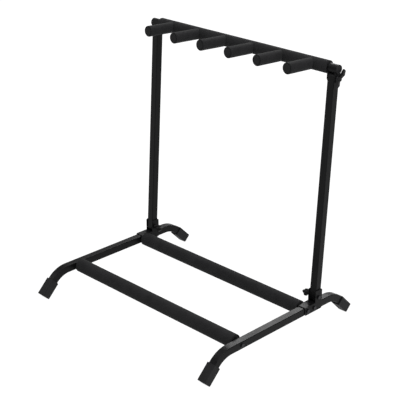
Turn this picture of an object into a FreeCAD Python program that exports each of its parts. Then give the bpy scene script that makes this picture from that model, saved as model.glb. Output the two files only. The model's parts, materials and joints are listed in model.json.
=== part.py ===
import FreeCAD, Part
import math
import os

import Sketcher
from FreeCAD import Placement, Rotation, Vector

# A folding guitar rack.  Two square-tube side rails stand on rubber boots and carry two foam-covered
# rest bars.  Two square uprights lean back from brackets on the rails and fold forward over them.
# A foam-covered neck bar with six fingers is held between the uprights' tops and folds down.
#
# Frame: X across the rack, -Y to the front, +Z up.  The origin is the middle of the footprint on the
# floor.  Everything above the lower pivots is laid out in the leaning frame of the uprights, whose
# origin is on the lower pivots' axis: X across, Y through the depth, Z along the uprights.

SIZES = {
    # square tube of the rails and uprights
    "TubeSide": 22.0,
    "TubeWall": 1.2,
    "TubeCorner": 2.0,
    "FrameReach": 331.6,  # middle of the rack to the middle of a rail or upright
    # side rail: a straight run, a bend and a sloping leg, the same at the front and the rear
    "CornerReach": 227.25,  # middle of the rail to the corner where its run and leg would meet
    "BendRadius": 75.0,
    "LegAngle": 45.0,
    "LegLength": 86.5,  # from that corner to the end face of the boot
    # rubber boots
    "BootSide": 28.0,
    "BootLength": 53.0,
    "BootEnd": 5.0,
    "BootTrim": 2.0,  # depth of the flat that stands on the floor
    "BootRound": 2.5,
    # foam-covered rest bars between the rails
    "FrontRestDepth": -156.6,
    "RearRestDepth": 104.1,
    "RestTubeRadius": 12.5,
    "RestTubeWall": 1.0,
    "RestFoamRadius": 20.3,
    "FoamReach": 316.0,  # middle of the rack to a foam sleeve's end
    "FoamRound": 1.6,
    "FoamGap": 0.1,
    "PlugLength": 14.0,
    "PlugGap": 0.05,
    # pivot brackets on the rails
    "BaseDepth": 146.75,  # where the uprights' middle line meets the height of the rails
    "PivotAhead": 1.5,
    "PivotRise": 26.5,
    "PlateThick": 2.0,
    "EarGap": 0.3,
    "SkirtFront": 54.0,  # all depths here are from the middle of the bracket
    "SkirtRear": 16.5,
    "EarTop": 49.0,
    "EarFront": 11.5,
    "WebGap": 0.4,
    "WebRise": 10.0,  # from the pivot up to the strip that stops the upright
    "BracketBoltDepth": 15.0,
    "PlateRound": 4.0,
    # fasteners
    "BoltRadius": 3.0,
    "BoltGap": 0.08,
    "HeadRadius": 5.8,
    "HeadThick": 4.0,
    "NutThick": 5.0,
    "ButtonRadius": 5.5,
    "ButtonThick": 3.0,
    "ThreadBreak": 0.6,
    "ThreadReach": 7.5,  # thread that stands out of the ears, inside a knob
    "NutReach": 1.0,
    "PlugThread": 11.2,
    # uprights
    "Lean": 3.25,
    "NeckAlong": 646.3,  # lower pivot to the middle of the neck bar, along the uprights
    "NeckDrop": 25.4,  # upper pivot below the middle of the neck bar
    "TubeBeyond": 6.5,  # from a pivot to the end of the upright's tube
    "CapPlug": 2.8,
    "CapRound": 2.0,
    # neck bar
    "NeckTubeRadius": 10.0,
    "NeckTubeWall": 1.2,
    "SleeveRadius": 12.0,
    "SleeveReach": 15.0,  # middle of an upright to the outer end of the sleeve
    "NeckFoamRadius": 17.6,
    "NeckCapThick": 2.0,
    "EarHalf": 11.0,
    "EarRoot": 5.5,
    "CapBreak": 0.8,
    # fingers
    "FingerPitch": 104.4,
    "FingerReach": 104.7,
    "FingerTubeRadius": 8.0,
    "FingerTubeWall": 1.0,
    "FingerFoamRadius": 15.7,
    "FingerCapRadius": 11.0,
    "FingerCapThick": 1.7,
    "FingerPlug": 12.0,
    # knobs
    "KnobGap": 0.3,
    "InsertRadius": 4.5,
    "InsertLength": 7.0,
    "UpperHubTop": 11.0,
    "UpperWingThick": 8.5,
    "LeftUpperTurn": 85.0,
    "RightUpperTurn": 38.0,
    "LowerHubTop": 30.0,
    "LowerWingThick": 6.0,
    "LowerTurn": 20.0,
    "BoreRoof": 2.5,  # plastic over the end of a knob's bore
}

# Outlines of the knobs as (height over the clamping face, radius), from the face to the nose for a
# hub and round one blade for a wing.  Every corner becomes two sizes, such as UpperHubHeight0.
OUTLINES = {
    "UpperHub": [(0, 8.5), (2.5, 8.5), (4, 7.4), (8, 6.6), (10.3, 5.2), (11, 3.5)],
    "UpperWing": [(2.5, 5), (4, 10.5), (5, 19), (5.5, 28), (9.5, 28.5), (13.5, 15.5), (10, 7), (9, 5)],
    "LowerHub": [(0, 7), (2, 7), (3.5, 5.4), (9, 5.4), (12, 7), (20, 7.4), (26, 5), (29, 3), (30, 2)],
    "LowerWing": [(12, 5), (12.5, 8), (14.5, 10), (19.5, 10), (22.5, 8), (23, 5)],
}
for name, corners in OUTLINES.items():
    for i, (height, radius) in enumerate(corners):
        SIZES[f"{name}Height{i}"] = height
        SIZES[f"{name}Radius{i}"] = radius

FINGERS = 6
SIDES = {"left": -1, "right": 1}
ENDS = {"front": -1, "rear": 1}

# Lengths that several pieces share, as expressions on the sheet.
HALF = "Sizes.TubeSide / 2"
LEG = "Sizes.LegAngle * 1 deg"
LEAN = "Sizes.Lean * 1 deg"
RAIL_HEIGHT = (
    f"(Sizes.LegLength * sin({LEG}) + Sizes.BootSide / 2 * cos({LEG}) - Sizes.BootTrim)"
)
PIVOT_DEPTH = "(Sizes.BaseDepth + Sizes.PivotAhead)"
PIVOT_HEIGHT = f"({RAIL_HEIGHT} + Sizes.PivotRise)"
EAR_INNER = f"({HALF} + Sizes.EarGap)"
EAR_OUTER = f"({EAR_INNER} + Sizes.PlateThick)"
HOLE = "(Sizes.BoltRadius + Sizes.BoltGap)"
UPPER_PIVOT = "(Sizes.NeckAlong - Sizes.NeckDrop)"
FRONT_TUBE_REACH = f"Sizes.FrameReach - {HALF}"
REAR_TUBE_REACH = f"Sizes.FrameReach - {EAR_OUTER}"

doc = FreeCAD.newDocument("GuitarRack")
sheet = doc.addObject("Spreadsheet::Sheet", "Sizes")
for row, (alias, value) in enumerate(SIZES.items(), start=1):
    sheet.set(f"A{row}", alias)
    sheet.set(f"B{row}", str(value))
    sheet.setAlias(f"B{row}", alias)
doc.recompute()

sub_parts = []


def number(expression):
    """The value of an expression on the sheet, in millimetres or degrees."""
    value = sheet.evalExpression(str(expression))
    return float(getattr(value, "Value", value))


def bind(item, field, expression):
    """Drive one property of an object from the sheet."""
    item.setExpression(field, str(expression))


def new_body(label):
    """An empty body that becomes one sub-part."""
    body = doc.addObject("PartDesign::Body", label)
    body.Label = label
    sub_parts.append(body)
    return body


# ---------------------------------------------------------------- placements


def place(item, across, depth, height, axis=Vector(1, 0, 0), angle="0"):
    """Put a sub-part in the rack's frame."""
    item.Placement = Placement(
        Vector(number(across), number(depth), number(height)), Rotation(axis, number(angle))
    )
    bind(item, "Placement.Base.x", across)
    bind(item, "Placement.Base.y", depth)
    bind(item, "Placement.Base.z", height)
    if number(angle) > 0:
        bind(item, "Placement.Rotation.Angle", f"({angle}) * 1 deg")


def place_on_rail(item, side, depth="0"):
    """Put a sub-part's origin on the middle line of a rail."""
    place(item, f"{side} * Sizes.FrameReach", depth, RAIL_HEIGHT)


def place_leaning(item, across, along, tilt="Sizes.Lean"):
    """Put a sub-part in the uprights' leaning frame, or upside down in it."""
    place(
        item,
        across,
        f"{PIVOT_DEPTH} + ({along}) * sin({LEAN})",
        f"{PIVOT_HEIGHT} + ({along}) * cos({LEAN})",
        Vector(-1, 0, 0),
        tilt,
    )


# ---------------------------------------------------------------- sketches


def origin_plane(body, plane):
    """One of a body's own three origin planes, such as XY."""
    return next(item for item in body.Origin.OriginFeatures if item.Role == f"{plane}_Plane")


def new_sketch(body, plane, lift="0"):
    """A sketch on one of the body's own origin planes, lifted along that plane's normal."""
    sketch = body.newObject("Sketcher::SketchObject", f"{body.Name}_sketch")
    sketch.AttachmentSupport = [(origin_plane(body, plane), "")]
    sketch.MapMode = "FlatFace"
    if lift != "0":
        sketch.AttachmentOffset = Placement(Vector(0, 0, number(lift)), Rotation())
        bind(sketch, "AttachmentOffset.Base.z", lift)
    return sketch


def pin_point(sketch, line, end, across, up):
    """Hold one point of a sketch line at two driven distances from the sketch's origin."""
    for kind, expression, axis in (("DistanceX", across, -2), ("DistanceY", up, -1)):
        value = number(expression)
        if abs(value) < 1e-9:
            sketch.addConstraint(Sketcher.Constraint("PointOnObject", line, end, axis))
            continue
        rule = Sketcher.Constraint(kind, -1, 1, line, end, value)
        index = sketch.addConstraint(rule)
        name = f"{kind}{line}_{end}"
        sketch.renameConstraint(index, name)
        bind(sketch, f"Constraints.{name}", expression)


def draw_outline(sketch, corners):
    """A closed outline of straight lines through corners given as pairs of expressions."""
    points = [Vector(number(across), number(up), 0) for across, up in corners]
    lines = [
        sketch.addGeometry(Part.LineSegment(point, points[(i + 1) % len(points)]), False)
        for i, point in enumerate(points)
    ]
    for i, line in enumerate(lines):
        after = lines[(i + 1) % len(lines)]
        sketch.addConstraint(Sketcher.Constraint("Coincident", line, 2, after, 1))
    for line, (across, up) in zip(lines, corners):
        pin_point(sketch, line, 1, across, up)


def draw_circle(sketch, across, up, radius):
    """A circle with a driven centre and radius."""
    centre = Vector(number(across), number(up), 0)
    circle = sketch.addGeometry(Part.Circle(centre, Vector(0, 0, 1), number(radius)), False)
    pin_point(sketch, circle, 3, across, up)
    index = sketch.addConstraint(Sketcher.Constraint("Radius", circle, number(radius)))
    name = f"Radius{circle}"
    sketch.renameConstraint(index, name)
    bind(sketch, f"Constraints.{name}", radius)


def draw_dome(sketch, half, drop):
    """A chord on the sketch's first axis and the arc over it, whose centre is below the chord."""
    reach = number(half)
    below = number(drop)
    centre = Vector(0, -below, 0)
    chord = sketch.addGeometry(
        Part.LineSegment(Vector(-reach, 0, 0), Vector(reach, 0, 0)), False
    )
    start = math.atan2(below, reach)
    circle = Part.Circle(centre, Vector(0, 0, 1), math.hypot(reach, below))
    arc = sketch.addGeometry(Part.ArcOfCircle(circle, start, math.pi - start), False)
    pin_point(sketch, chord, 1, f"-({half})", "0")
    pin_point(sketch, chord, 2, half, "0")
    sketch.addConstraint(Sketcher.Constraint("Coincident", arc, 1, chord, 2))
    sketch.addConstraint(Sketcher.Constraint("Coincident", arc, 2, chord, 1))
    rule = Sketcher.Constraint("DistanceY", arc, 3, -1, 1, below)
    index = sketch.addConstraint(rule)
    sketch.renameConstraint(index, "Drop")
    bind(sketch, "Constraints.Drop", drop)


def draw_square(sketch, side, corner):
    """A square about the sketch's origin, with round corners."""
    half = number(side) / 2
    round_off = number(corner)
    flat = half - round_off
    reach = f"({side}) / 2"
    short = f"({side}) / 2 - ({corner})"
    lines = []
    arcs = []
    for quarter in range(4):
        turn = math.pi / 2 * quarter
        out = Vector(math.cos(turn), math.sin(turn), 0)
        along = Vector(-math.sin(turn), math.cos(turn), 0)
        lines.append(
            sketch.addGeometry(
                Part.LineSegment(out * half - along * flat, out * half + along * flat), False
            )
        )
        centre = out * flat + along * flat
        circle = Part.Circle(centre, Vector(0, 0, 1), round_off)
        arcs.append(
            sketch.addGeometry(Part.ArcOfCircle(circle, turn, turn + math.pi / 2), False)
        )
    signs = [((1, -1), (1, 1)), ((1, 1), (-1, 1)), ((-1, 1), (-1, -1)), ((-1, -1), (1, -1))]
    for quarter, (start, stop) in enumerate(signs):
        for end, (across, up) in ((1, start), (2, stop)):
            across_size = reach if quarter % 2 == 0 else short
            up_size = short if quarter % 2 == 0 else reach
            pin_point(
                sketch, lines[quarter], end, f"{across} * ({across_size})", f"{up} * ({up_size})"
            )
        sketch.addConstraint(Sketcher.Constraint("Coincident", arcs[quarter], 1, lines[quarter], 2))
        after = lines[(quarter + 1) % 4]
        sketch.addConstraint(Sketcher.Constraint("Coincident", arcs[quarter], 2, after, 1))
        index = sketch.addConstraint(Sketcher.Constraint("Radius", arcs[quarter], round_off))
        name = f"Corner{arcs[quarter]}"
        sketch.renameConstraint(index, name)
        bind(sketch, f"Constraints.{name}", corner)


# ---------------------------------------------------------------- features


def extrude(body, kind, sketch, length, symmetric=False, flip=False):
    """A pad or pocket of a sketch."""
    feature = body.newObject(f"PartDesign::{kind}", f"{body.Name}_{kind}")
    feature.Profile = sketch
    feature.Length = number(length)
    bind(feature, "Length", length)
    if symmetric:
        feature.SideType = "Symmetric"
    feature.Reversed = flip
    doc.recompute()
    return feature


def pad(body, sketch, length, symmetric=False, flip=False):
    """Material along a sketch's normal."""
    return extrude(body, "Pad", sketch, length, symmetric, flip)


def pocket(body, sketch, length, symmetric=False, flip=False):
    """A pocket that has to take material away."""
    before = body.Shape.Volume
    feature = extrude(body, "Pocket", sketch, length, symmetric, flip)
    if body.Shape.Volume > before - 0.01:
        raise RuntimeError(f"{feature.Label} cuts nothing")
    return feature


def turn(body, axis, section):
    """A solid turned about the body's X, Y or Z axis from corners (along the axis, radius)."""
    plane, reference = {"X": ("XY", "H_Axis"), "Y": ("XY", "V_Axis"), "Z": ("XZ", "V_Axis")}[axis]
    sketch = new_sketch(body, plane)
    if axis == "X":
        corners = list(section)
    else:
        corners = [(radius, along) for along, radius in section]
    draw_outline(sketch, corners)
    feature = body.newObject("PartDesign::Revolution", f"{body.Name}_Revolution")
    feature.Profile = sketch
    feature.ReferenceAxis = (sketch, [reference])
    feature.Angle = 360
    doc.recompute()
    return feature


def round_edges(body, feature, radius, wanted):
    """Round the edges of a feature that a test picks."""
    names = [
        f"Edge{i}" for i, edge in enumerate(feature.Shape.Edges, start=1) if wanted(edge)
    ]
    if not names:
        raise RuntimeError(f"{body.Label} has no edge to round")
    fillet = body.newObject("PartDesign::Fillet", f"{body.Name}_Fillet")
    fillet.Base = (feature, names)
    fillet.Radius = number(radius)
    bind(fillet, "Radius", radius)
    doc.recompute()
    return fillet


def runs_along(edge, axis):
    """Whether an edge is a straight line along an axis."""
    if not isinstance(edge.Curve, (Part.Line, Part.LineSegment)):
        return False
    direction = (edge.lastVertex().Point - edge.firstVertex().Point).normalize()
    return abs(abs(direction.dot(axis)) - 1) < 1e-6


def ring_section(start, stop, inner, outer, soften="0"):
    """The section of a tube, with its outer end edges taken off when soften isn't zero."""
    if soften == "0":
        return [(start, inner), (stop, inner), (stop, outer), (start, outer)]
    return [
        (start, inner),
        (stop, inner),
        (stop, f"{outer} - {soften}"),
        (f"{stop} - {soften}", outer),
        (f"{start} + {soften}", outer),
        (start, f"{outer} - {soften}"),
    ]


def cross_hole(body, depth, height, radius):
    """A hole right through a body along X."""
    sketch = new_sketch(body, "YZ")
    draw_circle(sketch, depth, height, radius)
    pocket(body, sketch, "4 * Sizes.TubeSide", symmetric=True)


# ---------------------------------------------------------------- base


def make_side_rail(label, side):
    """A bent square tube: half of it is swept from the middle forward, then mirrored."""
    body = new_body(label)
    run = f"Sizes.CornerReach - Sizes.BendRadius * tan({LEG} / 2)"
    leg = f"Sizes.LegLength - Sizes.BootEnd - Sizes.BendRadius * tan({LEG} / 2)"
    path = new_sketch(body, "YZ")
    radius = number("Sizes.BendRadius")
    angle = math.radians(number("Sizes.LegAngle"))
    bend_start = Vector(-number(run), 0, 0)
    centre = bend_start - Vector(0, radius, 0)
    bend_stop = centre + Vector(-math.sin(angle), math.cos(angle), 0) * radius
    leg_stop = bend_stop - Vector(math.cos(angle), math.sin(angle), 0) * number(leg)
    straight = path.addGeometry(Part.LineSegment(Vector(0, 0, 0), bend_start), False)
    circle = Part.Circle(centre, Vector(0, 0, 1), radius)
    bend = path.addGeometry(Part.ArcOfCircle(circle, math.pi / 2, math.pi / 2 + angle), False)
    slope = path.addGeometry(Part.LineSegment(bend_stop, leg_stop), False)
    path.addConstraint(Sketcher.Constraint("Coincident", straight, 1, -1, 1))
    path.addConstraint(Sketcher.Constraint("Horizontal", straight))
    path.addConstraint(Sketcher.Constraint("Tangent", straight, 2, bend, 1))
    path.addConstraint(Sketcher.Constraint("Tangent", bend, 2, slope, 1))
    driven = (
        ("Run", Sketcher.Constraint("Distance", straight, number(run)), run),
        ("Bend", Sketcher.Constraint("Radius", bend, radius), "Sizes.BendRadius"),
        (
            "Slope",
            Sketcher.Constraint("Angle", slope, 1, straight, 2, math.pi - angle),
            f"180 deg - {LEG}",
        ),
        ("Leg", Sketcher.Constraint("Distance", slope, number(leg)), leg),
    )
    for name, rule, expression in driven:
        index = path.addConstraint(rule)
        path.renameConstraint(index, name)
        bind(path, f"Constraints.{name}", expression)
    profile = new_sketch(body, "XZ")
    draw_square(profile, "Sizes.TubeSide", "Sizes.TubeCorner")
    draw_square(
        profile, "Sizes.TubeSide - 2 * Sizes.TubeWall", "Sizes.TubeCorner - Sizes.TubeWall"
    )
    doc.recompute()
    pipe = body.newObject("PartDesign::AdditivePipe", f"{label}_Pipe")
    pipe.Profile = profile
    pipe.Spine = (path, ["Edge1", "Edge2", "Edge3"])
    doc.recompute()
    mirror = body.newObject("PartDesign::Mirrored", f"{label}_Mirrored")
    mirror.Originals = [pipe]
    mirror.MirrorPlane = (origin_plane(body, "XZ"), [""])
    body.Tip = mirror
    doc.recompute()
    for depth in ("Sizes.FrontRestDepth", "Sizes.RearRestDepth"):
        cross_hole(body, depth, "0", HOLE)
    cross_hole(body, "Sizes.BaseDepth - Sizes.BracketBoltDepth", "0", HOLE)
    place_on_rail(body, side)


def make_boot(label, side, end):
    """A square rubber boot over a rail's end, with a narrow flat that stands on the floor."""
    body = new_body(label)
    opening = "Sizes.LegLength - Sizes.BootLength"
    outside = new_sketch(body, "XY", opening)
    draw_square(outside, "Sizes.BootSide", "Sizes.BootRound")
    block = pad(body, outside, "Sizes.BootLength")
    tip = number("Sizes.LegLength")
    round_edges(
        body,
        block,
        "Sizes.BootRound / 2",
        lambda edge: all(abs(vertex.Z - tip) < 1e-6 for vertex in edge.Vertexes),
    )
    inside = new_sketch(body, "XY", opening)
    draw_square(inside, "Sizes.TubeSide + 2 * Sizes.PlugGap", "Sizes.TubeCorner")
    pocket(body, inside, "Sizes.BootLength - Sizes.BootEnd", flip=True)
    trim = new_sketch(body, "YZ")
    draw_outline(
        trim,
        [
            (f"{end} * (Sizes.BootSide / 2 - Sizes.BootTrim / cos({LEG}))", "Sizes.LegLength"),
            (f"{end} * Sizes.BootSide / 2", f"Sizes.LegLength - Sizes.BootTrim / sin({LEG})"),
            (
                f"{end} * (Sizes.BootSide / 2 + Sizes.BootEnd)",
                "Sizes.LegLength + Sizes.BootEnd",
            ),
        ],
    )
    pocket(body, trim, "2 * Sizes.BootSide", symmetric=True)
    place(
        body,
        f"{side} * Sizes.FrameReach",
        f"{end} * Sizes.CornerReach",
        RAIL_HEIGHT,
        Vector(-end, 0, 0),
        "90 + Sizes.LegAngle",
    )


def make_rest_bar(name, depth, tube_reach):
    """A steel tube between the rails and the foam sleeve on it."""
    tube = new_body(f"{name}_rest_tube")
    inner = "Sizes.RestTubeRadius - Sizes.RestTubeWall"
    turn(tube, "X", ring_section(f"-({tube_reach})", tube_reach, inner, "Sizes.RestTubeRadius"))
    place(tube, "0", depth, RAIL_HEIGHT)
    foam = new_body(f"{name}_rest_foam")
    hollow = "Sizes.RestTubeRadius + Sizes.FoamGap"
    turn(
        foam,
        "X",
        ring_section(
            "-Sizes.FoamReach", "Sizes.FoamReach", hollow, "Sizes.RestFoamRadius", "Sizes.FoamRound"
        ),
    )
    place(foam, "0", depth, RAIL_HEIGHT)


def make_pivot_bracket(label, side):
    """A saddle over the rail with two ears for an upright's foot and a strip behind that stops it."""
    body = new_body(label)
    skirt_low = f"-({HALF})"
    saddle_top = f"{HALF} + Sizes.EarGap + Sizes.PlateThick"
    blank = new_sketch(body, "YZ")
    draw_outline(
        blank,
        [
            ("-Sizes.SkirtFront", skirt_low),
            ("Sizes.SkirtRear", skirt_low),
            ("Sizes.SkirtRear", "Sizes.EarTop"),
            ("-Sizes.EarFront", "Sizes.EarTop"),
            ("-Sizes.EarFront", saddle_top),
            ("-Sizes.SkirtFront", saddle_top),
        ],
    )
    block = pad(body, blank, f"2 * {EAR_OUTER}", symmetric=True)
    rounded = round_edges(
        body,
        block,
        "Sizes.PlateRound",
        lambda edge: runs_along(edge, Vector(1, 0, 0))
        and (
            edge.Vertexes[0].Z > number("Sizes.EarTop") - 1
            or edge.Vertexes[0].Z < number(skirt_low) + 1
        ),
    )
    body.Tip = rounded
    channel = new_sketch(body, "YZ")
    low = f"{skirt_low} - Sizes.PlateThick"
    roof = f"{HALF} + Sizes.EarGap"
    beyond = "Sizes.SkirtFront + Sizes.PlateThick"
    draw_outline(
        channel,
        [
            (f"-({beyond})", low),
            ("Sizes.SkirtRear + Sizes.PlateThick", low),
            ("Sizes.SkirtRear + Sizes.PlateThick", roof),
            (f"-({beyond})", roof),
        ],
    )
    pocket(body, channel, f"2 * {EAR_INNER}", symmetric=True)
    slot = new_sketch(body, "YZ")
    back = f"(Sizes.PivotAhead + {HALF} + Sizes.WebGap)"
    web_back = f"{back} + Sizes.WebRise * tan({LEAN})"
    top = "Sizes.EarTop + Sizes.PlateThick"
    top_back = f"{back} + ({top} - Sizes.PivotRise) * tan({LEAN})"
    draw_outline(
        slot,
        [
            (f"-({beyond})", saddle_top),
            ("Sizes.SkirtRear + Sizes.PlateThick", saddle_top),
            ("Sizes.SkirtRear + Sizes.PlateThick", "Sizes.PivotRise + Sizes.WebRise"),
            (web_back, "Sizes.PivotRise + Sizes.WebRise"),
            (top_back, top),
            (f"-({beyond})", top),
        ],
    )
    pocket(body, slot, f"2 * {EAR_INNER}", symmetric=True)
    cross_hole(body, "Sizes.PivotAhead", "Sizes.PivotRise", HOLE)
    cross_hole(body, "Sizes.RearRestDepth - Sizes.BaseDepth", "0", HOLE)
    cross_hole(body, "-Sizes.BracketBoltDepth", "0", HOLE)
    place_on_rail(body, side, "Sizes.BaseDepth")


# ---------------------------------------------------------------- fasteners


def hexagon(sketch, radius):
    """A hexagon about the sketch's origin, with a driven radius to its corners."""
    corners = [
        (f"({radius}) * cos({60 * i} deg)", f"({radius}) * sin({60 * i} deg)") for i in range(6)
    ]
    draw_outline(sketch, corners)


def make_pivot_bolt(label, facing, length):
    """A hexagon bolt along X: the head is outside x = 0 and the shank runs the other way."""
    body = new_body(label)
    turn(
        body,
        "X",
        [
            ("0", "0"),
            (f"{-facing} * ({length})", "0"),
            (f"{-facing} * ({length})", "Sizes.BoltRadius - Sizes.ThreadBreak"),
            (f"{-facing} * ({length} - Sizes.ThreadBreak)", "Sizes.BoltRadius"),
            ("0", "Sizes.BoltRadius"),
        ],
    )
    head = new_sketch(body, "YZ")
    hexagon(head, "Sizes.HeadRadius")
    pad(body, head, "Sizes.HeadThick", flip=facing < 0)
    return body


def group(label, solids):
    """One node for several equal fasteners."""
    compound = doc.addObject("Part::Compound", label)
    compound.Label = label
    compound.Links = solids
    sub_parts.append(compound)


def rod(name, radius, length, start, depth, height):
    """A plain cylinder along X that starts at x = start."""
    cylinder = doc.addObject("Part::Cylinder", name)
    bind(cylinder, "Radius", radius)
    bind(cylinder, "Height", length)
    place(cylinder, start, depth, height, Vector(0, 1, 0), "90")
    return cylinder


def cut(name, base, tool):
    """One solid less another."""
    piece = doc.addObject("Part::Cut", name)
    piece.Base = base
    piece.Tool = tool
    return piece


def fuse(name, base, tool):
    """Two solids as one."""
    piece = doc.addObject("Part::Fuse", name)
    piece.Base = base
    piece.Tool = tool
    return piece


def make_rest_fasteners():
    """Threaded plugs in the rest tubes' ends and the bolts that reach them through the rails."""
    plugs = []
    bolts = []
    plug_radius = "Sizes.RestTubeRadius - Sizes.RestTubeWall - Sizes.PlugGap"
    bars = {
        "front": ("Sizes.FrontRestDepth", FRONT_TUBE_REACH, HALF),
        "rear": ("Sizes.RearRestDepth", REAR_TUBE_REACH, EAR_OUTER),
    }
    for end, (depth, reach, face) in bars.items():
        for side, sign in SIDES.items():
            name = f"{end}_{side}"
            start = f"({reach}) - Sizes.PlugLength" if sign > 0 else f"-({reach})"
            body = rod(f"{name}_plug_body", plug_radius, "Sizes.PlugLength", start, depth, RAIL_HEIGHT)
            bore = rod(f"{name}_plug_bore", HOLE, "Sizes.PlugLength", start, depth, RAIL_HEIGHT)
            plugs.append(cut(f"{name}_plug", body, bore))
            outer = f"(Sizes.FrameReach + {face})"
            length = f"{outer} - ({reach}) + Sizes.PlugThread"
            shank_start = f"{outer} - ({length})" if sign > 0 else f"-{outer}"
            shank = rod(f"{name}_shank", "Sizes.BoltRadius", length, shank_start, depth, RAIL_HEIGHT)
            head_start = outer if sign > 0 else f"-({outer} + Sizes.ButtonThick)"
            head = rod(
                f"{name}_head",
                "Sizes.ButtonRadius",
                "Sizes.ButtonThick",
                head_start,
                depth,
                RAIL_HEIGHT,
            )
            bolts.append(fuse(f"{name}_bolt", head, shank))
    group("rest_tube_plugs", plugs)
    group("rest_tube_bolts", bolts)


def make_bracket_fasteners():
    """A bolt through each bracket and rail, with its nut on the inner face."""
    bolts = []
    nuts = []
    depth = "Sizes.BaseDepth - Sizes.BracketBoltDepth"
    for side, sign in SIDES.items():
        outer = f"(Sizes.FrameReach + {EAR_OUTER})"
        inner = f"(Sizes.FrameReach - {EAR_OUTER})"
        length = f"{outer} - {inner} + Sizes.NutThick + Sizes.NutReach"
        start = f"{outer} - ({length})" if sign > 0 else f"-{outer}"
        shank = rod(f"{side}_bracket_shank", "Sizes.BoltRadius", length, start, depth, RAIL_HEIGHT)
        head_start = outer if sign > 0 else f"-({outer} + Sizes.ButtonThick)"
        head = rod(
            f"{side}_bracket_head",
            "Sizes.ButtonRadius",
            "Sizes.ButtonThick",
            head_start,
            depth,
            RAIL_HEIGHT,
        )
        bolts.append(fuse(f"{side}_bracket_bolt", head, shank))
        prism = doc.addObject("Part::Prism", f"{side}_nut_prism")
        prism.Polygon = 6
        bind(prism, "Circumradius", "Sizes.HeadRadius")
        bind(prism, "Height", "Sizes.NutThick")
        nut_start = f"{inner} - Sizes.NutThick" if sign > 0 else f"-{inner}"
        place(prism, nut_start, depth, RAIL_HEIGHT, Vector(0, 1, 0), "90")
        bore = rod(f"{side}_nut_bore", HOLE, "Sizes.NutThick", nut_start, depth, RAIL_HEIGHT)
        nuts.append(cut(f"{side}_nut", prism, bore))
    group("bracket_bolts", bolts)
    group("bracket_nuts", nuts)


# ---------------------------------------------------------------- uprights


def make_upright(label, side):
    """A straight square tube with a cross hole for each pivot bolt."""
    body = new_body(label)
    profile = new_sketch(body, "XY", "-Sizes.TubeBeyond")
    draw_square(profile, "Sizes.TubeSide", "Sizes.TubeCorner")
    draw_square(
        profile, "Sizes.TubeSide - 2 * Sizes.TubeWall", "Sizes.TubeCorner - Sizes.TubeWall"
    )
    pad(body, profile, f"{UPPER_PIVOT} + 2 * Sizes.TubeBeyond")
    cross_hole(body, "0", "0", HOLE)
    cross_hole(body, "0", UPPER_PIVOT, HOLE)
    place_leaning(body, f"{side} * Sizes.FrameReach", "0")


def make_tube_cap(label, side, along, outward):
    """A plastic cap in an upright's end: a head domed about the pivot and a plug inside the tube."""
    body = new_body(label)
    head = new_sketch(body, "YZ")
    draw_dome(head, HALF, "Sizes.TubeBeyond")
    block = pad(body, head, "Sizes.TubeSide", symmetric=True)
    round_edges(
        body,
        block,
        "Sizes.CapRound",
        lambda edge: isinstance(edge.Curve, Part.Circle),
    )
    plug = new_sketch(body, "XY")
    inside = "Sizes.TubeSide - 2 * Sizes.TubeWall - 2 * Sizes.PlugGap"
    draw_square(plug, inside, "Sizes.TubeCorner - Sizes.TubeWall")
    pad(body, plug, "Sizes.CapPlug", flip=True)
    tilt = "Sizes.Lean" if outward > 0 else "Sizes.Lean + 180"
    place_leaning(body, f"{side} * Sizes.FrameReach", along, tilt)


# ---------------------------------------------------------------- neck bar


def make_t_bracket(label, side):
    """A sleeve on the neck bar with two ears that hang down each side of an upright."""
    body = new_body(label)
    start = f"{-side} * {EAR_OUTER}"
    stop = f"{side} * Sizes.SleeveReach"
    bore = "Sizes.NeckTubeRadius + Sizes.PlugGap"
    turn(body, "X", ring_section(start, stop, bore, "Sizes.SleeveRadius"))
    for hand in (-1, 1):
        lift = f"{hand} * {EAR_INNER}"
        plate = new_sketch(body, "YZ", lift)
        draw_outline(
            plate,
            [
                ("-Sizes.EarHalf", "-Sizes.EarRoot"),
                ("-Sizes.EarHalf", "-Sizes.NeckDrop"),
                ("Sizes.EarHalf", "-Sizes.NeckDrop"),
                ("Sizes.EarHalf", "-Sizes.EarRoot"),
            ],
        )
        pad(body, plate, "Sizes.PlateThick", flip=hand < 0)
        round_end = new_sketch(body, "YZ", lift)
        draw_circle(round_end, "0", "-Sizes.NeckDrop", "Sizes.EarHalf")
        pad(body, round_end, "Sizes.PlateThick", flip=hand < 0)
    clear = new_sketch(body, "YZ")
    draw_circle(clear, "0", "0", bore)
    pocket(body, clear, "4 * Sizes.TubeSide", symmetric=True)
    cross_hole(body, "0", "-Sizes.NeckDrop", HOLE)
    place_leaning(body, f"{side} * Sizes.FrameReach", "Sizes.NeckAlong")


def make_neck_bar():
    """The tube between the uprights' tops."""
    body = new_body("neck_bar_tube")
    reach = "(Sizes.FrameReach + Sizes.SleeveReach)"
    inner = "Sizes.NeckTubeRadius - Sizes.NeckTubeWall"
    turn(body, "X", ring_section(f"-{reach}", reach, inner, "Sizes.NeckTubeRadius"))
    place_leaning(body, "0", "Sizes.NeckAlong")


def make_neck_cap(label, side):
    """A plastic cap on the neck bar's end."""
    body = new_body(label)
    plug = "Sizes.NeckTubeRadius - Sizes.NeckTubeWall - Sizes.PlugGap"
    turn(
        body,
        "X",
        [
            (f"{side} * Sizes.NeckCapThick", "0"),
            (f"{side} * Sizes.NeckCapThick", "Sizes.SleeveRadius - Sizes.CapBreak"),
            (f"{side} * (Sizes.NeckCapThick - Sizes.CapBreak)", "Sizes.SleeveRadius"),
            ("0", "Sizes.SleeveRadius"),
            ("0", plug),
            (f"{-side} * Sizes.FingerPlug", plug),
            (f"{-side} * Sizes.FingerPlug", "0"),
        ],
    )
    place_leaning(
        body, f"{side} * (Sizes.FrameReach + Sizes.SleeveReach)", "Sizes.NeckAlong"
    )


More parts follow.
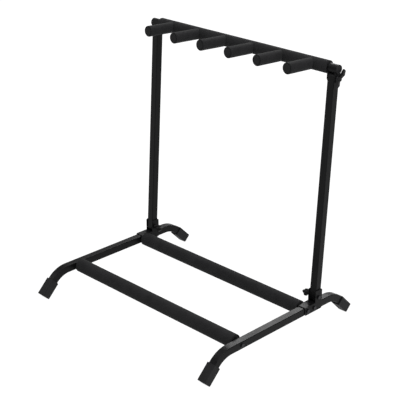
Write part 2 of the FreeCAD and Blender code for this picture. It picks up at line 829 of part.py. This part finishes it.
def finger_across(index):
    """The place of a finger along the neck bar."""
    return f"{index - (FINGERS - 1) / 2} * Sizes.FingerPitch"


def make_neck_foam():
    """The foam sleeve on the neck bar, with a hole at the front for each finger."""
    body = new_body("neck_bar_foam")
    hollow = "Sizes.NeckTubeRadius + Sizes.FoamGap"
    turn(
        body,
        "X",
        ring_section(
            "-Sizes.FoamReach", "Sizes.FoamReach", hollow, "Sizes.NeckFoamRadius", "Sizes.FoamRound"
        ),
    )
    holes = new_sketch(body, "XZ")
    for index in range(FINGERS):
        draw_circle(holes, finger_across(index), "0", "Sizes.FingerTubeRadius + Sizes.FoamGap")
    pocket(body, holes, "2 * Sizes.NeckFoamRadius", flip=True)
    place_leaning(body, "0", "Sizes.NeckAlong")


def saddle_cut(body, radius):
    """Cut a piece's root to fit against a cylinder about the neck bar's axis."""
    sketch = new_sketch(body, "YZ")
    draw_circle(sketch, "0", "0", radius)
    pocket(body, sketch, "3 * Sizes.NeckFoamRadius", symmetric=True)


def make_finger(index):
    """A finger tube welded to the neck bar, its foam sleeve and its end cap."""
    place_in_row = index + 1
    foam_end = "-(Sizes.FingerReach - Sizes.FingerCapThick)"
    tube = new_body(f"finger_tube_{place_in_row}")
    inner = "Sizes.FingerTubeRadius - Sizes.FingerTubeWall"
    root = "-Sizes.NeckTubeRadius / 2"
    turn(tube, "Y", ring_section(foam_end, root, inner, "Sizes.FingerTubeRadius"))
    saddle_cut(tube, "Sizes.NeckTubeRadius + Sizes.PlugGap")
    foam = new_body(f"finger_foam_{place_in_row}")
    hollow = "Sizes.FingerTubeRadius + Sizes.FoamGap"
    foam_root = "-Sizes.NeckFoamRadius / 3"
    turn(
        foam,
        "Y",
        [
            (foam_end, hollow),
            (foam_root, hollow),
            (foam_root, "Sizes.FingerFoamRadius"),
            (f"{foam_end} + Sizes.FoamRound", "Sizes.FingerFoamRadius"),
            (foam_end, "Sizes.FingerFoamRadius - Sizes.FoamRound"),
        ],
    )
    saddle_cut(foam, "Sizes.NeckFoamRadius + Sizes.FoamGap")
    cap = new_body(f"finger_cap_{place_in_row}")
    plug = "Sizes.FingerTubeRadius - Sizes.FingerTubeWall - Sizes.PlugGap"
    turn(
        cap,
        "Y",
        [
            ("-Sizes.FingerReach", "0"),
            ("-Sizes.FingerReach", "Sizes.FingerCapRadius - Sizes.CapBreak"),
            ("-Sizes.FingerReach + Sizes.CapBreak", "Sizes.FingerCapRadius"),
            (foam_end, "Sizes.FingerCapRadius"),
            (foam_end, plug),
            (f"{foam_end} + Sizes.FingerPlug", plug),
            (f"{foam_end} + Sizes.FingerPlug", "0"),
        ],
    )
    for body in (tube, foam, cap):
        place_leaning(body, finger_across(index), "Sizes.NeckAlong")


# ---------------------------------------------------------------- knobs

# Each knob is laid out with its clamping face at z = 0 and its nose up.


def outline(name):
    """The corners of a knob's outline, as expressions."""
    return [
        (f"Sizes.{name}Height{i}", f"Sizes.{name}Radius{i}") for i in range(len(OUTLINES[name]))
    ]


def make_knob(label, shape, seat, facing, turned):
    """A moulded wing knob and the threaded insert in it, on a bolt's free end."""
    body = new_body(label)
    bore_end = f"Sizes.{shape}HubTop - Sizes.BoreRoof"
    section = [
        (bore_end, "0"),
        (f"Sizes.{shape}HubTop", "0"),
        *reversed(outline(f"{shape}Hub")),
        ("0", "Sizes.InsertRadius + Sizes.PlugGap"),
        ("Sizes.InsertLength", "Sizes.InsertRadius + Sizes.PlugGap"),
        ("Sizes.InsertLength", HOLE),
        (bore_end, HOLE),
    ]
    turn(body, "Z", section)
    for hand in (-1, 1):
        blade = new_sketch(body, "XZ")
        draw_outline(
            blade, [(f"{hand} * {radius}", height) for height, radius in outline(f"{shape}Wing")]
        )
        pad(body, blade, f"Sizes.{shape}WingThick", symmetric=True)
    insert = new_body(f"{label}_insert")
    turn(insert, "Z", ring_section("0", "Sizes.InsertLength", HOLE, "Sizes.InsertRadius"))
    facing_out = Rotation(Vector(0, 1, 0), 90 * facing)
    about_axis = Rotation(Vector(0, 0, 1), -facing * number(turned))
    for item in (body, insert):
        item.Placement = Placement(
            Vector(*(number(distance) for distance in seat)), facing_out * about_axis
        )
        for axis, distance in zip("xyz", seat):
            bind(item, f"Placement.Base.{axis}", distance)


# ---------------------------------------------------------------- the rack

for side, sign in SIDES.items():
    make_side_rail(f"{side}_side_rail", sign)
    for end, direction in ENDS.items():
        make_boot(f"{end}_{side}_boot", sign, direction)
    make_pivot_bracket(f"{side}_pivot_bracket", sign)
make_rest_bar("front", "Sizes.FrontRestDepth", FRONT_TUBE_REACH)
make_rest_bar("rear", "Sizes.RearRestDepth", REAR_TUBE_REACH)
make_rest_fasteners()
make_bracket_fasteners()

for side, sign in SIDES.items():
    make_upright(f"{side}_upright", sign)
    make_tube_cap(f"{side}_upright_top_cap", sign, f"{UPPER_PIVOT} + Sizes.TubeBeyond", 1)
    make_tube_cap(f"{side}_upright_foot_cap", sign, "-Sizes.TubeBeyond", -1)

make_neck_bar()
make_neck_foam()
for side, sign in SIDES.items():
    make_t_bracket(f"{side}_t_bracket", sign)
    make_neck_cap(f"{side}_neck_bar_cap", sign)
for index in range(FINGERS):
    make_finger(index)

bolt_length = f"2 * {EAR_OUTER} + Sizes.ThreadReach"
upper_height = f"{PIVOT_HEIGHT} + {UPPER_PIVOT} * cos({LEAN})"
upper_depth = f"{PIVOT_DEPTH} + {UPPER_PIVOT} * sin({LEAN})"
for side, sign in SIDES.items():
    outer_face = f"{sign} * (Sizes.FrameReach + {EAR_OUTER})"
    inner_face = f"{sign} * (Sizes.FrameReach - {EAR_OUTER})"
    lower_bolt = make_pivot_bolt(f"{side}_lower_pivot_bolt", sign, bolt_length)
    place(lower_bolt, outer_face, PIVOT_DEPTH, PIVOT_HEIGHT)
    upper_bolt = make_pivot_bolt(f"{side}_upper_pivot_bolt", -sign, bolt_length)
    place_leaning(upper_bolt, inner_face, UPPER_PIVOT)
    lower_seat = (f"{inner_face} - {sign} * Sizes.KnobGap", PIVOT_DEPTH, PIVOT_HEIGHT)
    make_knob(f"{side}_lower_knob", "Lower", lower_seat, -sign, "Sizes.LowerTurn")
    upper_seat = (f"{outer_face} + {sign} * Sizes.KnobGap", upper_depth, upper_height)
    upper_turn = f"Sizes.{side.title()}UpperTurn"
    make_knob(f"{side}_upper_knob", "Upper", upper_seat, sign, upper_turn)

doc.recompute()

for item in doc.Objects:
    if "Invalid" in item.State or "Error" in item.State:
        raise RuntimeError(f"{item.Label} failed: {item.State}")
for item in sub_parts:
    if item.Shape.isNull() or not item.Shape.isValid() or not item.Shape.Solids:
        raise RuntimeError(f"{item.Label} has no valid solid")

os.makedirs("parts", exist_ok=True)
for item in sub_parts:
    item.Shape.exportStep(f"parts/{item.Label}.step")
print(f"{len(sub_parts)} sub-parts, rail height {number(RAIL_HEIGHT):.2f} mm")
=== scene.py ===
import json
import math

import bmesh
import bpy
from mathutils import Matrix, Vector, noise


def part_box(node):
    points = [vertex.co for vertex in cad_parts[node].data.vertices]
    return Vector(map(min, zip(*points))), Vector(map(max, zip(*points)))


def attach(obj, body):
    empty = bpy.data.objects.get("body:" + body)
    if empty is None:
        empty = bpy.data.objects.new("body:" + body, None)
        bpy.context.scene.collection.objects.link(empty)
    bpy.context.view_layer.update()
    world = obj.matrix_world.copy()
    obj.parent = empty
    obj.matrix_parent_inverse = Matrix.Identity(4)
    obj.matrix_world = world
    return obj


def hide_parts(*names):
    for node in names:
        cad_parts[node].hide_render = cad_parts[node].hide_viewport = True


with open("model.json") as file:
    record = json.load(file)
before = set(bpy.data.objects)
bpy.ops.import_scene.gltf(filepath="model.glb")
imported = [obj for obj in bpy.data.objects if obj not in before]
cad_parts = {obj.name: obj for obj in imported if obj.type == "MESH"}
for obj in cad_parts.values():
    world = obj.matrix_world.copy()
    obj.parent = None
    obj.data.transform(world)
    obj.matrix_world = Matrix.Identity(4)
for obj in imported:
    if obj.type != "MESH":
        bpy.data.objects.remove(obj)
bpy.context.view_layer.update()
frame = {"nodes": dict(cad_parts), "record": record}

# A folding guitar rack in a white studio.  Everything is in metres, in the frame's own axes.

NODES = frame["nodes"]
MM = 0.001

# ---------------------------------------------------------------- camera

AZIMUTH = math.radians(45.07)
ELEVATION = math.radians(23.23)
DISTANCE = 3.3285
LENS = 100.63
SENSOR = 36.0
LOOK_AT = Vector((-0.11724, 0.14675, 0.24813))


def add_camera():
    """The camera, level, looking at LOOK_AT from the front right and above."""
    back = Vector(
        (
            math.sin(AZIMUTH) * math.cos(ELEVATION),
            -math.cos(AZIMUTH) * math.cos(ELEVATION),
            math.sin(ELEVATION),
        )
    )
    data = bpy.data.cameras.new("camera")
    data.lens = LENS
    data.sensor_width = SENSOR
    data.clip_end = 100
    camera = bpy.data.objects.new("camera", data)
    bpy.context.scene.collection.objects.link(camera)
    camera.location = LOOK_AT + back * DISTANCE
    camera.rotation_euler = back.to_track_quat("Z", "Y").to_euler()
    bpy.context.scene.camera = camera


# ---------------------------------------------------------------- materials

# The mix node's colour sockets share their names with its other sockets, so they go by number.
MIX_FIRST, MIX_SECOND, MIX_RESULT = 6, 7, 2

# How far an edge's wear, painted highlight or rounding reaches into a face.
COAT_WEAR_AND_HIGHLIGHT = 0.9 * MM
MOULD_WEAR = 0.8 * MM
EDGE_ROUND = 0.5 * MM
METAL_ROUND = 0.35 * MM


class Nodes:
    """Builds one material's node tree."""

    def __init__(self, name):
        self.material = bpy.data.materials.new(name)
        self.material.use_nodes = True
        self.tree = self.material.node_tree
        self.shader = self.tree.nodes["Principled BSDF"]
        self.place = self.add("ShaderNodeTexCoord").outputs["Object"]

    def add(self, kind, **fields):
        node = self.tree.nodes.new(kind)
        for field, value in fields.items():
            setattr(node, field, value)
        return node

    def link(self, source, target):
        self.tree.links.new(source, target)

    def noise(self, scale, detail=2.0, rough=0.5, stretch=None):
        """A noise of about one feature per 1/scale metres, 0 to 1."""
        node = self.add("ShaderNodeTexNoise")
        node.inputs["Scale"].default_value = scale
        node.inputs["Detail"].default_value = detail
        node.inputs["Roughness"].default_value = rough
        place = self.place
        if stretch:
            mapping = self.add("ShaderNodeMapping")
            mapping.inputs["Scale"].default_value = stretch
            self.link(place, mapping.inputs["Vector"])
            place = mapping.outputs["Vector"]
        self.link(place, node.inputs["Vector"])
        return node.outputs["Fac"]

    def cells(self, scale):
        """The distance to the nearest of scattered points."""
        node = self.add("ShaderNodeTexVoronoi")
        node.inputs["Scale"].default_value = scale
        self.link(self.place, node.inputs["Vector"])
        return node.outputs["Distance"]

    def remap(self, value, low, high, to_low, to_high):
        """A value moved from the span low to high onto to_low to to_high, and held there."""
        node = self.add("ShaderNodeMapRange")
        node.inputs["From Min"].default_value = low
        node.inputs["From Max"].default_value = high
        node.inputs["To Min"].default_value = to_low
        node.inputs["To Max"].default_value = to_high
        self.link(value, node.inputs["Value"])
        return node.outputs["Result"]

    def math(self, operation, first, second):
        """A sum or product of two values, each a socket or a number."""
        node = self.add("ShaderNodeMath", operation=operation)
        for socket, value in zip(node.inputs, (first, second)):
            if isinstance(value, (int, float)):
                socket.default_value = value
            else:
                self.link(value, socket)
        return node.outputs["Value"]

    def blend(self, factor, first, second):
        """A colour between two colours."""
        node = self.add("ShaderNodeMix", data_type="RGBA")
        self.link(factor, node.inputs["Factor"])
        for number, value in ((MIX_FIRST, first), (MIX_SECOND, second)):
            socket = node.inputs[number]
            if isinstance(value, tuple):
                socket.default_value = (*value, 1)
            else:
                self.link(value, socket)
        return node.outputs[MIX_RESULT]

    def bump(self, height, distance, strength, below=None):
        """A normal raised by a height, on top of the normal below."""
        node = self.add("ShaderNodeBump")
        node.inputs["Distance"].default_value = distance
        node.inputs["Strength"].default_value = strength
        self.link(height, node.inputs["Height"])
        if below is not None:
            self.link(below, node.inputs["Normal"])
        return node.outputs["Normal"]

    def soft_edges(self, radius):
        """A normal that rounds sharp edges."""
        node = self.add("ShaderNodeBevel", samples=4)
        node.inputs["Radius"].default_value = radius
        return node.outputs["Normal"]

    def edge_mask(self, radius):
        """1 along sharp edges, 0 on flat faces."""
        facing = self.add("ShaderNodeVectorMath", operation="DOT_PRODUCT")
        self.link(self.soft_edges(radius), facing.inputs[0])
        geometry = self.add("ShaderNodeNewGeometry")
        self.link(geometry.outputs["Normal"], facing.inputs[1])
        return self.remap(facing.outputs["Value"], 0.995, 0.9, 0.0, 1.0)

    def set(self, **values):
        """Constant values on the shader's own sockets."""
        for socket, value in values.items():
            self.shader.inputs[socket.replace("_", " ")].default_value = value


def scaled(colour, share):
    """A colour with each channel multiplied by a share."""
    return tuple(share * channel for channel in colour)


def powder_coat(name, base, light, rough):
    """Satin black powder coat: orange peel, fine grain, faint wear and painted highlights along the
    edges.
    """
    m = Nodes(name)
    m.set(Specular_IOR_Level=0.08)
    mottle = m.noise(14, 3, 0.6)
    grain = m.noise(2600, 2, 0.7)
    patches = m.remap(m.noise(90, 4, 0.7), 0.45, 0.7, 0, 1)
    worn_and_highlit = m.math("MULTIPLY", m.edge_mask(COAT_WEAR_AND_HIGHLIGHT), patches)
    coat = m.blend(m.remap(mottle, 0.3, 0.7, 0, 1), base, scaled(base, 1.35))
    coat = m.blend(m.remap(grain, 0.62, 0.8, 0, 0.5), coat, light)
    # The edges are lightened partly as wear and partly as a painted highlight.
    coat = m.blend(m.math("MULTIPLY", worn_and_highlit, 0.55), coat, light)
    m.link(coat, m.shader.inputs["Base Color"])
    broad = m.remap(mottle, 0.3, 0.7, -0.05, 0.05)
    uneven = m.math("ADD", broad, m.remap(grain, 0, 1, -0.06, 0.06))
    m.link(m.math("ADD", uneven, rough), m.shader.inputs["Roughness"])
    peel = m.bump(m.noise(520, 2, 0.5), 0.10 * MM, 0.35, m.soft_edges(EDGE_ROUND))
    m.link(m.bump(grain, 0.03 * MM, 0.5, peel), m.shader.inputs["Normal"])
    return m.material


def foam(name, base, light):
    """Closed-cell foam: matte, finely pitted with painted shade in the pits, with a soft uneven
    skin.
    """
    m = Nodes(name)
    m.set(Specular_IOR_Level=0.08, Sheen_Weight=0.02, Sheen_Roughness=0.5)
    cells = m.cells(1150)
    skin = m.noise(38, 4, 0.6)
    dust = m.noise(700, 3, 0.7)
    colour = m.blend(m.remap(skin, 0.3, 0.7, 0, 1), base, light)
    # The pits are darkened with painted shade.
    colour = m.blend(m.remap(cells, 0.25, 0.0, 0, 0.55), colour, scaled(base, 0.35))
    colour = m.blend(m.remap(dust, 0.62, 0.85, 0, 0.5), colour, scaled(light, 2.4))
    m.link(colour, m.shader.inputs["Base Color"])
    m.link(m.remap(skin, 0.2, 0.8, 0.82, 0.96), m.shader.inputs["Roughness"])
    lumps = m.bump(skin, 0.5 * MM, 0.4)
    pits = m.bump(cells, 0.16 * MM, 0.6, lumps)
    m.link(m.bump(dust, 0.10 * MM, 0.5, pits), m.shader.inputs["Normal"])
    return m.material


def moulded(name, base, rough, texture, depth, specular):
    """Moulded rubber or plastic: a stippled texture, faint clouds, scuffed and soft edges."""
    m = Nodes(name)
    m.set(Specular_IOR_Level=specular)
    stipple = m.noise(texture, 3, 0.65)
    cloud = m.noise(60, 3, 0.6)
    colour = m.blend(m.remap(cloud, 0.3, 0.7, 0, 1), base, scaled(base, 1.5))
    patches = m.remap(m.noise(220, 3, 0.6), 0.4, 0.7, 0, 1)
    scuffed = m.math("MULTIPLY", m.edge_mask(MOULD_WEAR), patches)
    colour = m.blend(m.math("MULTIPLY", scuffed, 0.4), colour, scaled(base, 3.0))
    m.link(colour, m.shader.inputs["Base Color"])
    fine = m.remap(stipple, 0, 1, -0.08, 0.08)
    uneven = m.math("ADD", fine, m.remap(cloud, 0, 1, -0.05, 0.05))
    m.link(m.math("ADD", uneven, rough), m.shader.inputs["Roughness"])
    m.link(m.bump(stipple, depth, 0.6, m.soft_edges(EDGE_ROUND)), m.shader.inputs["Normal"])
    return m.material


def plated(name, base, rough, metallic):
    """Plated or blackened steel with fine turning marks."""
    m = Nodes(name)
    m.set(Metallic=metallic)
    grain = m.noise(900, 3, 0.7, stretch=(6, 1, 1))
    stain = m.noise(240, 3, 0.6)
    colour = m.blend(m.remap(stain, 0.3, 0.7, 0, 1), base, scaled(base, 1.5))
    m.link(colour, m.shader.inputs["Base Color"])
    uneven = m.math("ADD", m.remap(grain, 0, 1, -0.1, 0.1), rough)
    m.link(uneven, m.shader.inputs["Roughness"])
    m.link(m.bump(grain, 0.03 * MM, 0.5, m.soft_edges(METAL_ROUND)), m.shader.inputs["Normal"])
    return m.material


# One material for each material slot of the record.
MATERIALS = {
    "frame_steel": powder_coat(
        "frame_powder_coat", base=(0.0028, 0.0028, 0.003), light=(0.03, 0.03, 0.032), rough=0.34
    ),
    "bracket_steel": powder_coat(
        "bracket_coat", base=(0.0026, 0.0026, 0.0028), light=(0.028, 0.028, 0.03), rough=0.4
    ),
    "foam": foam("foam_skin", base=(0.0085, 0.0085, 0.0089), light=(0.0135, 0.0135, 0.0142)),
    "boot_rubber": moulded(
        "boot_rubber",
        base=(0.007, 0.007, 0.0074),
        rough=0.6,
        texture=900,
        depth=0.08 * MM,
        specular=0.12,
    ),
    "black_bolt": plated("black_bolt", base=(0.02, 0.02, 0.022), rough=0.38, metallic=0.85),
    "black_plastic": moulded(
        "black_plastic",
        base=(0.006, 0.006, 0.0063),
        rough=0.5,
        texture=1400,
        depth=0.05 * MM,
        specular=0.08,
    ),
    "knob_plastic": moulded(
        "knob_plastic",
        base=(0.005, 0.005, 0.0053),
        rough=0.42,
        texture=1600,
        depth=0.04 * MM,
        specular=0.12,
    ),
    "insert_metal": plated("insert_metal", base=(0.42, 0.38, 0.28), rough=0.35, metallic=1.0),
}


def dress_cad():
    """Every CAD node takes the material of its slot."""
    for row in frame["record"]["subparts"]:
        node = NODES[row["node"]]
        if not node.material_slots:
            node.data.materials.append(None)
        for slot in node.material_slots:
            slot.material = MATERIALS[row["material_slot"]]


# ---------------------------------------------------------------- foam sleeves

# Outer radius and bore of each kind of sleeve.
REST_RADIUS, REST_BORE = 20.3 * MM, 12.6 * MM
NECK_RADIUS, NECK_BORE = 17.6 * MM, 10.1 * MM
FINGER_RADIUS, FINGER_BORE = 15.7 * MM, 8.1 * MM

# A finger's sleeve, from the middle of the neck bar to its end, and how it meets the bar's sleeve.
FINGER_REACH = 103.0 * MM
ROOT_GAP = 0.1 * MM
PINCH_DEPTH, PINCH_LENGTH = 0.5 * MM, 2.2 * MM

# How far the fingers point above level.
LEAN = math.radians(3.25)

# How far past its hollow the end's profile follows the bore.  For each kind of sleeve, the rim's
# radius and the end's hollow, then the slow and the quick unevenness of the skin.
BORE_LEAD = 0.8 * MM
BAR_RIM, BAR_DISH = 1.2 * MM, 0.5 * MM
BAR_SWELL, BAR_DIMPLE = 0.35 * MM, 0.14 * MM
FINGER_RIM, FINGER_DISH = 1.0 * MM, 0.25 * MM
FINGER_SWELL, FINGER_DIMPLE = 0.25 * MM, 0.12 * MM

# Features of the skin's unevenness per metre: the slow one along and across X, and the quick one.
SLOW_ALONG, SLOW_ACROSS, QUICK = 9, 22, 90

# Points round a sleeve and rings along it.
BAR_SIDES, BAR_STATIONS = 96, 220
FINGER_SIDES, FINGER_STATIONS = 72, 44
RIM_STEPS = 6

# The holes in the neck bar's sleeve, and how close the cut may leave two vertices.
HOLE_DEPTH = 40 * MM
HOLE_SIDES = 48
WELD_REACH = 0.002 * MM


def unevenness(place, seed, swell, dimple):
    """How far the foam's skin lies inside its full radius at a place, in metres, zero or more."""
    at_slow = (place.x * SLOW_ALONG + seed, place.y * SLOW_ACROSS, place.z * SLOW_ACROSS)
    at_quick = (place.x * QUICK + seed, place.y * QUICK, place.z * QUICK)
    slow, quick = noise.noise(Vector(at_slow)), noise.noise(Vector(at_quick))
    return swell * (0.5 - 0.5 * slow) + dimple * (0.5 - 0.5 * quick)


def wall_share(r, radius, bore):
    """1 on a sleeve's outer wall, 0 at its bore."""
    return min(1.0, max(0.0, (r - bore) / (radius - bore)))


def shell(name, rings, matrix):
    """A closed piece from rings of equal count that run round its wall and meet again."""
    mesh = bmesh.new()
    rows = [[mesh.verts.new(point) for point in ring] for ring in rings]
    for row, after in zip(rows, rows[1:] + rows[:1]):
        for i, vert in enumerate(row):
            beside = (i + 1) % len(row)
            mesh.faces.new((vert, row[beside], after[beside], after[i]))
    bmesh.ops.recalc_face_normals(mesh, faces=mesh.faces)
    data = bpy.data.meshes.new(name)
    mesh.to_mesh(data)
    mesh.free()
    data.transform(matrix)
    for face in data.polygons:
        face.use_smooth = True
    piece = bpy.data.objects.new(name, data)
    bpy.context.scene.collection.objects.link(piece)
    return piece


def end_profile(radius, bore, rim, dish):
    """(inset from the end, radius) from the wall over the rim and down the end face to the bore."""
    profile = []
    for i in range(RIM_STEPS + 1):
        turn = math.pi / 2 * i / RIM_STEPS
        profile.append((rim * (1 - math.sin(turn)), radius - rim * (1 - math.cos(turn))))
    for share in (0.3, 0.6, 0.85, 1.0):
        at = radius - rim + (bore - (radius - rim)) * share
        profile.append((dish * math.sin(math.pi * share / 1.6), at))
    profile.append((dish + BORE_LEAD, bore))
    return profile


def sleeve(name, reach, radius, bore, matrix, seed):
    """A foam tube along X, with a skin that is never quite straight and soft rims."""
    profile = end_profile(radius, bore, BAR_RIM, BAR_DISH)
    line = [(-reach + inset, r) for inset, r in reversed(profile)]
    inner = reach - BAR_RIM
    line += [(-inner + 2 * inner * i / BAR_STATIONS, radius) for i in range(1, BAR_STATIONS)]
    line += [(reach - inset, r) for inset, r in profile]
    rings = []
    for along, r in line:
        ring = []
        for i in range(BAR_SIDES):
            turn = 2 * math.pi * i / BAR_SIDES
            around = Vector((0, math.cos(turn), math.sin(turn)))
            place = around * r + Vector((along, 0, 0))
            under = unevenness(place, seed, BAR_SWELL, BAR_DIMPLE) * wall_share(r, radius, bore)
            ring.append(place - around * under)
        rings.append(ring)
    return shell(name, rings, matrix)


def finger_sleeve(name, matrix, seed):
    """A foam tube along -Y. Its root fits the neck bar's sleeve and its cap dishes its end."""
    profile = end_profile(FINGER_RADIUS, FINGER_BORE, FINGER_RIM, FINGER_DISH)
    rings = []

    def ring_at(share, r, inset):
        """A ring of radius r at a share of the way from the root to inset short of the end."""
        ring = []
        for i in range(FINGER_SIDES):
            turn = 2 * math.pi * i / FINGER_SIDES
            around = Vector((math.cos(turn), 0, math.sin(turn)))
            root = math.sqrt((NECK_RADIUS + ROOT_GAP) ** 2 - (r * around.z) ** 2)
            tip = FINGER_REACH - inset
            along = root + (tip - root) * share
            place = around * r + Vector((0, -along, 0))
            pinched = PINCH_DEPTH * math.exp(-(along - root) / PINCH_LENGTH)
            under = unevenness(place, seed, FINGER_SWELL, FINGER_DIMPLE) + pinched
            ring.append(place - around * under * wall_share(r, FINGER_RADIUS, FINGER_BORE))
        return ring

    for share in (0.0, 0.004, 0.012, 0.025, 0.045):
        rings.append(ring_at(share, FINGER_RADIUS, 0))
    for i in range(3, FINGER_STATIONS):
        rings.append(ring_at(i / FINGER_STATIONS, FINGER_RADIUS, FINGER_RIM))
    rings += [ring_at(1.0, r, inset) for inset, r in profile]
    rings.append(ring_at(0.5, FINGER_BORE, 0))
    rings.append(ring_at(0.0, FINGER_BORE, 0))
    return shell(name, rings, matrix)


def weld(data, reach):
    """Join vertices closer than a reach, so that no face is left with no width."""
    mesh = bmesh.new()
    mesh.from_mesh(data)
    bmesh.ops.triangulate(mesh, faces=[face for face in mesh.faces if len(face.verts) > 4])
    bmesh.ops.remove_doubles(mesh, verts=mesh.verts, dist=reach)
    bmesh.ops.dissolve_degenerate(mesh, edges=mesh.edges, dist=reach)
    mesh.to_mesh(data)
    mesh.free()


def drill(piece, name, radius, starts, direction, depth):
    """Cut round holes that run from each start along one direction."""
    mesh = bmesh.new()
    turned = direction.to_track_quat("Z", "Y").to_matrix().to_4x4()
    for start in starts:
        bmesh.ops.create_cone(
            mesh,
            cap_ends=True,
            segments=HOLE_SIDES,
            radius1=radius,
            radius2=radius,
            depth=depth,
            matrix=Matrix.Translation(start + direction * depth / 2) @ turned,
        )
    data = bpy.data.meshes.new(name)
    mesh.to_mesh(data)
    mesh.free()
    cutter = bpy.data.objects.new(name, data)
    bpy.context.scene.collection.objects.link(cutter)
    holes = piece.modifiers.new("holes", "BOOLEAN")
    holes.operation = "DIFFERENCE"
    holes.object = cutter
    solid = piece.evaluated_get(bpy.context.evaluated_depsgraph_get())
    cut = bpy.data.meshes.new_from_object(solid)
    piece.modifiers.clear()
    piece.data = cut
    bpy.data.objects.remove(cutter)
    weld(cut, WELD_REACH)


def settle(piece, node, body):
    """The piece stands for a CAD foam, moves with its body and takes the foam material."""
    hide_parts(node)
    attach(piece, body)
    piece.data.materials.clear()
    piece.data.materials.append(MATERIALS["foam"])


def middle(node):
    """The middle of a CAD node's box."""
    low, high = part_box(node)
    return (low + high) / 2


def add_foam():
    """Foam sleeves on the rest bars, the neck bar and the fingers."""
    for node, seed in (("front_rest_foam", 3.1), ("rear_rest_foam", 10.1)):
        matrix = Matrix.Translation(middle(node))
        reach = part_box(node)[1].x
        piece = sleeve(f"{node}_skin", reach, REST_RADIUS, REST_BORE, matrix, seed)
        settle(piece, node, "base")
    fingers = range(1, 7)
    on_bar = middle("neck_bar_tube")
    bar = Matrix.Translation(on_bar) @ Matrix.Rotation(-LEAN, 4, "X")
    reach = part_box("neck_bar_foam")[1].x
    piece = sleeve("neck_bar_foam_skin", reach, NECK_RADIUS, NECK_BORE, bar, 23.7)
    forward = Vector((0, -math.cos(LEAN), math.sin(LEAN)))
    starts = [Vector((middle(f"finger_foam_{i}").x, on_bar.y, on_bar.z)) for i in fingers]
    drill(piece, "finger_holes", FINGER_BORE, starts, forward, HOLE_DEPTH)
    settle(piece, "neck_bar_foam", "neck_bar")
    for number in fingers:
        node = f"finger_foam_{number}"
        matrix = Matrix.Translation((middle(node).x, 0, 0)) @ bar
        piece = finger_sleeve(f"{node}_skin", matrix, 40 + 5.3 * number)
        settle(piece, node, "neck_bar")


# ---------------------------------------------------------------- studio

FLOOR_SIZE = 600.0
FLOOR_GAP = 0.2 * MM


def add_light(name, place, aim, size, power):
    """A rectangular lamp at a place, facing its aim. Its size is in metres, its power in watts."""
    data = bpy.data.lights.new(name, "AREA")
    data.shape = "RECTANGLE"
    data.size, data.size_y = size
    data.energy = power
    light = bpy.data.objects.new(name, data)
    bpy.context.scene.collection.objects.link(light)
    light.location = place
    light.rotation_euler = (Vector(place) - Vector(aim)).to_track_quat("Z", "Y").to_euler()


def add_sky(steps):
    """A white surround. Its strength follows (height, strength) steps, horizon 0 to zenith 1."""
    world = bpy.data.worlds.new("studio")
    world.use_nodes = True
    tree = world.node_tree
    direction = tree.nodes.new("ShaderNodeTexCoord").outputs["Generated"]
    height = tree.nodes.new("ShaderNodeSeparateXYZ")
    strength = tree.nodes.new("ShaderNodeValToRGB")
    marks = strength.color_ramp.elements
    while len(marks) < len(steps):
        marks.new(position=0.5)
    for mark, (at, level) in zip(marks, steps):
        mark.position = at
        mark.color = (level, level, level, 1)
    background = tree.nodes["Background"]
    background.inputs["Color"].default_value = (1, 1, 1, 1)
    tree.links.new(direction, height.inputs["Vector"])
    tree.links.new(height.outputs["Z"], strength.inputs["Fac"])
    tree.links.new(strength.outputs["Color"], background.inputs["Strength"])
    bpy.context.scene.world = world


def add_studio():
    """A lit white table under soft light from overhead, from both sides and from behind."""
    bpy.ops.mesh.primitive_plane_add(size=FLOOR_SIZE, location=(0, 0, -FLOOR_GAP))
    floor = bpy.context.object
    floor.name = "studio_floor"
    m = Nodes("studio_floor")
    tone = m.remap(m.noise(1.5, 2, 0.5), 0.3, 0.7, 0.0, 1.0)
    m.link(m.blend(tone, (0.06, 0.06, 0.06), (0.07, 0.07, 0.07)), m.shader.inputs["Base Color"])
    m.set(Roughness=0.9, Specular_IOR_Level=0.0)
    m.set(Emission_Color=(1, 1, 1, 1), Emission_Strength=1.0)
    floor.data.materials.append(m.material)
    add_light("overhead", (-0.2, -0.3, 3.2), (0, 0, 0.3), (3.2, 3.2), 60)
    add_light("left_window", (-3.0, -1.6, 1.8), (0, 0, 0.4), (2.0, 2.0), 20)
    add_light("back_window", (-1.9, 3.3, 2.7), (0.2, 0.1, 0.2), (2.4, 1.8), 115)
    add_light("right_window", (2.8, -0.3, 2.0), (0, 0.1, 0.6), (2.0, 1.6), 70)
    add_sky(((0.0, 1.05), (0.06, 1.0), (0.22, 0.2), (1.0, 0.68)))
    bpy.context.scene.view_settings.view_transform = "Standard"


# ---------------------------------------------------------------- the scene

add_camera()
dress_cad()
add_foam()
add_studio()
